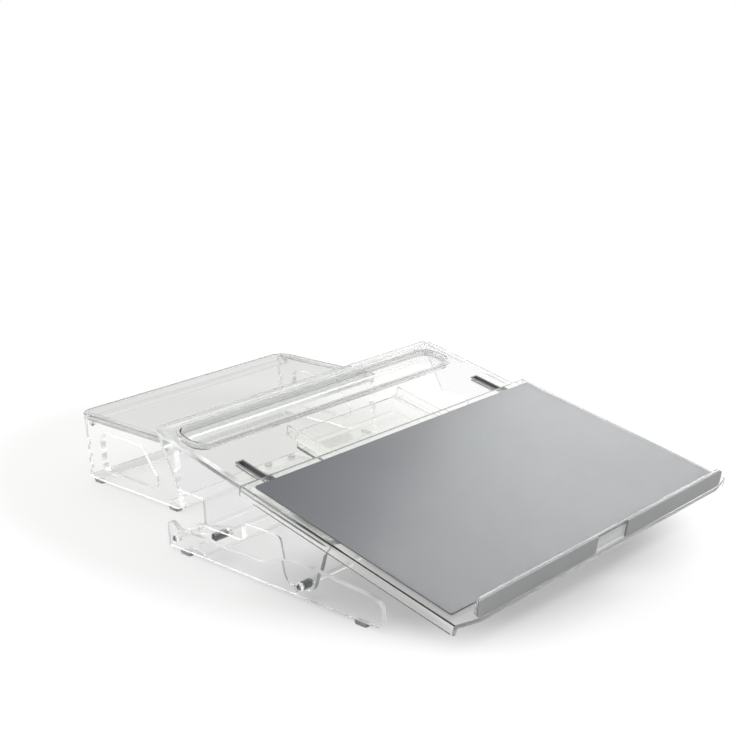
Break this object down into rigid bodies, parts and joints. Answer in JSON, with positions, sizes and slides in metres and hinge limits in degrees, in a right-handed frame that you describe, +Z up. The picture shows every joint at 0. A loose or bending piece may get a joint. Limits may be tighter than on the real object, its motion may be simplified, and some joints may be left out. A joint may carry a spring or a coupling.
{
  "type": "document holder with drawer",
  "caption": "Clear desk stand with a sliding sloped document board, a pen tray, a drawer under the deck and a monitor platform behind.",
  "frame": {"origin": "on the table, under the middle of the whole stand's box", "axes": "+X to the user's right, +Y away from the user, +Z up from the table"},
  "size_m": [0.503, 0.735, 0.1384],
  "materials": {
    "clear_acrylic": "polished clear sheet",
    "grey_pad": "soft satin",
    "dark_strip": "satin",
    "dark_channel": "satin",
    "grey_knob": "satin",
    "glide_plastic": "waxy",
    "steel": "brushed",
    "rubber": "matt"
  },
  "bodies": {
    "stand": {"base_side_left": "clear_acrylic", "base_side_right": "clear_acrylic", "hinge_rod": "clear_acrylic", "prop_pivot_rod": "clear_acrylic", "hinge_rod_caps": "clear_acrylic", "prop_pivot_caps": "clear_acrylic", "hinge_washers": "grey_knob", "prop_spacers": "clear_acrylic", "base_rail": "clear_acrylic", "base_feet": "rubber", "platform_plate": "clear_acrylic", "platform_frame_left": "clear_acrylic", "platform_frame_right": "clear_acrylic", "platform_rod_front": "clear_acrylic", "platform_rod_rear": "clear_acrylic", "platform_rail_front": "clear_acrylic", "platform_rail_rear": "clear_acrylic", "platform_feet": "rubber", "link_strap": "clear_acrylic", "link_screws": "steel"},
    "deck": {"deck_sheet": "clear_acrylic", "slot_channel_left": "dark_channel", "slot_channel_right": "dark_channel", "pen_tray": "clear_acrylic", "deck_side_left": "clear_acrylic", "deck_side_right": "clear_acrylic", "deck_rear_rib": "clear_acrylic", "drawer_runner_left": "clear_acrylic", "drawer_runner_right": "clear_acrylic"},
    "board": {"board_sheet": "clear_acrylic", "writing_pad": "grey_pad", "lip_ledge": "clear_acrylic", "lip_strip_left": "dark_strip", "lip_strip_right": "dark_strip", "keel_left": "dark_channel", "keel_right": "dark_channel", "glide_pads": "glide_plastic"},
    "drawer": {"drawer_tray": "clear_acrylic", "drawer_face": "clear_acrylic", "drawer_pull": "grey_knob"},
    "prop": {"prop_arm_left": "clear_acrylic", "prop_arm_right": "clear_acrylic", "prop_rod": "clear_acrylic", "prop_sleeves": "rubber"}
  },
  "joints": [
    {"name": "deck_tilt", "type": "hinge", "parent": "stand", "child": "deck", "pos_m": [0, -0.14169, 0.017], "axis": [1, 0, 0], "range_deg": [0, 3]},
    {"name": "board_slide", "type": "slide", "parent": "deck", "child": "board", "axis": [0, 0.9744, 0.225], "range_m": [-0.022, 0.055]},
    {"name": "drawer_slide", "type": "slide", "parent": "deck", "child": "drawer", "axis": [0, -0.9744, -0.225], "range_m": [0, 0.12]},
    {"name": "prop_swing", "type": "hinge", "parent": "stand", "child": "prop", "pos_m": [0, 0.0713, 0.017], "axis": [-1, 0, 0], "range_deg": [0, 9]}
  ],
  "couplings": [
    {"joint": "prop_swing", "follows": "deck_tilt", "ratio": 2.8033}
  ]
}
